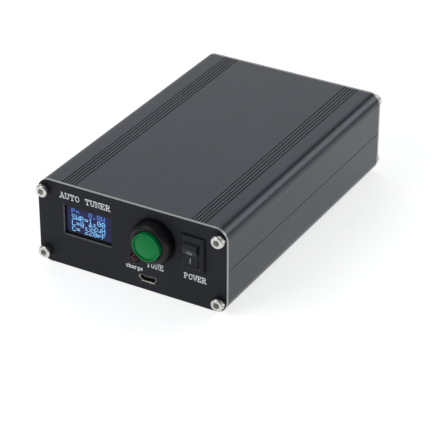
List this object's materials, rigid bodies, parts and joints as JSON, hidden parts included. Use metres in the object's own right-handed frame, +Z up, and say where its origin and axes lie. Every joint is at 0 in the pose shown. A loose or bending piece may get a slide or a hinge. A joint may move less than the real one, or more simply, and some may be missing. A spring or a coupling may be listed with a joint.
{
  "type": "antenna tuner",
  "caption": "Desktop automatic antenna tuner in a black extruded aluminium case with a small display, green tune button, rocker switch, charging port and two rear coaxial sockets.",
  "frame": {"origin": "on the resting face, below the middle of the case", "axes": "+X to the right as seen from the front, +Y from the front panel to the rear panel, +Z up"},
  "size_m": [0.088, 0.1615, 0.038],
  "materials": {
    "anodised_case": "brushed, black anodised",
    "anodised_panel": "fine matt black anodised, bare cut edges",
    "bare_aluminium": "machined edge",
    "plated_steel": "nickel plated",
    "black_foam": "closed cell foam tape",
    "display_glass": "dark polished glass",
    "display_pixels": "lit light blue",
    "blue_board": "solder resist",
    "green_board": "solder resist",
    "black_moulding": "moulded",
    "white_moulding": "moulded",
    "gloss_black": "semi-gloss moulded",
    "green_cap": "moulded green",
    "switch_black": "satin moulded",
    "red_lens": "tinted clear lens, unlit",
    "label_ink": "screen-printed white ink",
    "spring_steel": "drawn wire",
    "contact_brass": "plain",
    "gold_contact": "gold flashed",
    "nickel_plate": "bright nickel plate",
    "white_insulator": "white fluoroplastic",
    "tinned_wire": "tinned",
    "wire_black": "insulated wire",
    "wire_red": "insulated wire",
    "wire_white": "insulated wire",
    "relay_case": "moulded relay case",
    "capacitor_brown": "fired ceramic",
    "iron_powder": "painted iron powder",
    "ferrite": "ferrite",
    "enamelled_copper": "enamelled copper",
    "battery_foil": "wrapped pouch cell"
  },
  "bodies": {
    "case": {"top_shell": "anodised_case", "bottom_shell": "anodised_case", "front_panel": "anodised_panel", "rear_panel": "anodised_panel", "front_panel_screws": "plated_steel", "rear_panel_screws": "plated_steel", "display_gasket": "black_foam", "display_glass": "display_glass", "display_board": "blue_board", "display_plug": "black_moulding", "display_leads": "wire_black", "tune_button_body": "gloss_black", "tune_button_terminals": "contact_brass", "tune_button_nut": "plated_steel", "tune_button_washer": "plated_steel", "button_leads": "wire_black", "power_switch_frame": "switch_black", "power_switch_terminals": "contact_brass", "switch_leads": "wire_red", "charge_led": "red_lens", "charge_led_leads": "tinned_wire", "usb_socket_shell": "plated_steel", "usb_socket_tongue": "black_moulding", "charge_board": "blue_board", "charge_board_tape": "black_foam", "charge_parts": "black_moulding", "antenna_socket_shell": "nickel_plate", "antenna_socket_insulator": "white_insulator", "antenna_socket_contact": "gold_contact", "radio_socket_shell": "nickel_plate", "radio_socket_insulator": "white_insulator", "radio_socket_contact": "gold_contact", "socket_screws": "plated_steel", "socket_nuts": "plated_steel", "rf_leads": "wire_white", "main_board": "green_board", "board_connectors": "white_moulding", "capacitor_relays": "relay_case", "inductor_relays": "relay_case", "relay_drivers": "black_moulding", "tuning_capacitors": "capacitor_brown", "inductor_cores": "iron_powder", "inductor_windings": "enamelled_copper", "air_coils": "enamelled_copper", "coupler_cores": "ferrite", "coupler_windings": "enamelled_copper", "microcontroller": "black_moulding", "microcontroller_pins": "tinned_wire", "voltage_converter": "black_moulding", "battery_pack": "battery_foil", "battery_tape": "black_foam", "battery_leads": "wire_red"},
    "tune_button": {"tune_button_cap": "green_cap", "tune_button_plunger": "black_moulding", "tune_button_spring": "spring_steel", "tune_button_bridge": "contact_brass"},
    "power_rocker": {"power_switch_rocker": "switch_black", "power_switch_plunger": "contact_brass", "power_switch_spring": "spring_steel"},
    "switch_contact": {"power_switch_blade": "contact_brass"}
  },
  "joints": [
    {"name": "tune_press", "type": "slide", "parent": "case", "child": "tune_button", "axis": [0, 1, 0], "range_m": [0, 0.002], "stiffness_N_per_m": 600, "springref_m": -0.002, "deforming": ["tune_button_spring"]},
    {"name": "power_rock", "type": "hinge", "parent": "case", "child": "power_rocker", "pos_m": [0.0289, -0.0671, 0.024], "axis": [-1, 0, 0], "range_deg": [0, 22]},
    {"name": "contact_rock", "type": "hinge", "parent": "case", "child": "switch_contact", "pos_m": [0.0289, -0.0609, 0.024], "axis": [1, 0, 0], "range_deg": [0, 16]}
  ],
  "couplings": [
    {"joint": "contact_rock", "follows": "power_rock", "ratio": 0.7273}
  ]
}
